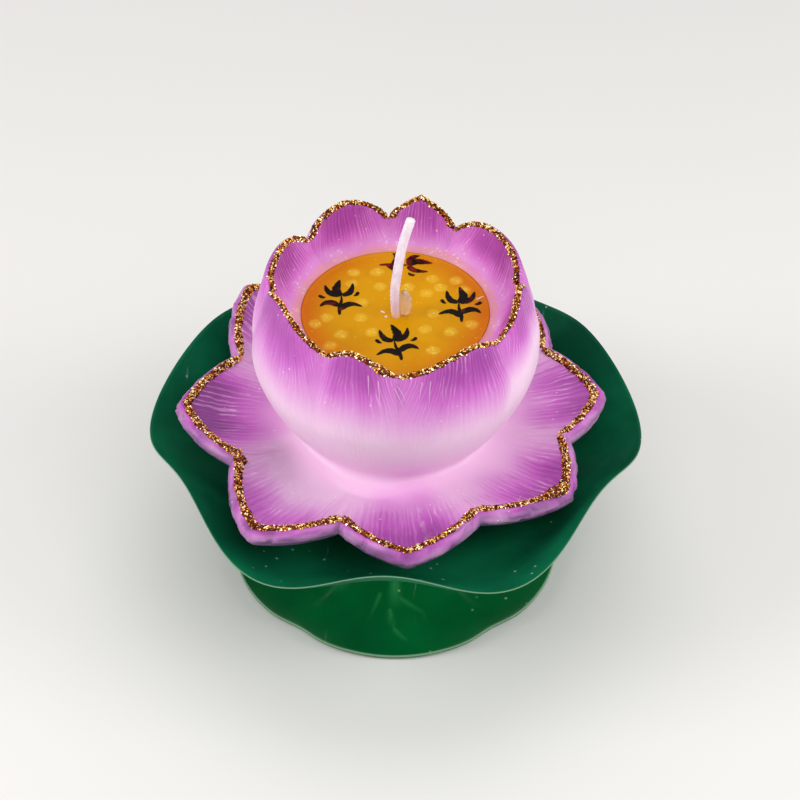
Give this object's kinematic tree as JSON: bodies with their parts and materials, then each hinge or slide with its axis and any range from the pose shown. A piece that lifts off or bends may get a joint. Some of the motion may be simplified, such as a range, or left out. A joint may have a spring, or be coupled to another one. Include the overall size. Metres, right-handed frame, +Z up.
{
  "type": "lotus candle on leaf stand",
  "caption": "Candle shaped as an open lotus flower, with an amber fill and a wick, that lifts off a leaf dish on a fluted stalk and leaf foot.",
  "frame": {"origin": "on the floor under the middle of the leaf foot", "axes": "+Z up along the stalk, +X to the right and -Y towards the picture's viewer"},
  "size_m": [0.1302, 0.1228, 0.1096],
  "materials": {
    "petal_wax": "moulded wax, airbrushed from white to orchid purple, satin",
    "amber_gel": "translucent amber gel wax",
    "clear_glue": "clear wick glue",
    "wick_cotton": "waxed cotton braid",
    "tin_plate": "stamped tin plate",
    "gold_glitter": "gold glitter in clear glue",
    "satin_leaf": "satin dark green plastic sheet",
    "gloss_leaf": "glossy green plastic"
  },
  "bodies": {
    "stand": {"foot_leaf": "gloss_leaf", "leaf_stalk": "gloss_leaf", "leaf_dish": "satin_leaf"},
    "candle": {"lower_petals": "petal_wax", "upper_petals": "petal_wax", "amber_fill": "amber_gel", "wick_sustainer": "tin_plate", "wick": "wick_cotton", "wick_glue": "clear_glue", "rim_glitter_1": "gold_glitter", "rim_glitter_2": "gold_glitter", "rim_glitter_3": "gold_glitter", "rim_glitter_4": "gold_glitter", "rim_glitter_5": "gold_glitter", "rim_glitter_6": "gold_glitter", "rim_glitter_7": "gold_glitter", "rim_glitter_8": "gold_glitter", "saucer_glitter_1": "gold_glitter", "saucer_glitter_2": "gold_glitter", "saucer_glitter_3": "gold_glitter", "saucer_glitter_4": "gold_glitter", "saucer_glitter_5": "gold_glitter", "saucer_glitter_6": "gold_glitter", "saucer_glitter_7": "gold_glitter", "saucer_glitter_8": "gold_glitter"}
  },
  "joints": [
    {"name": "candle_lift", "type": "slide", "parent": "stand", "child": "candle", "axis": [0, 0, 1], "range_m": [0, 0.08]}
  ]
}
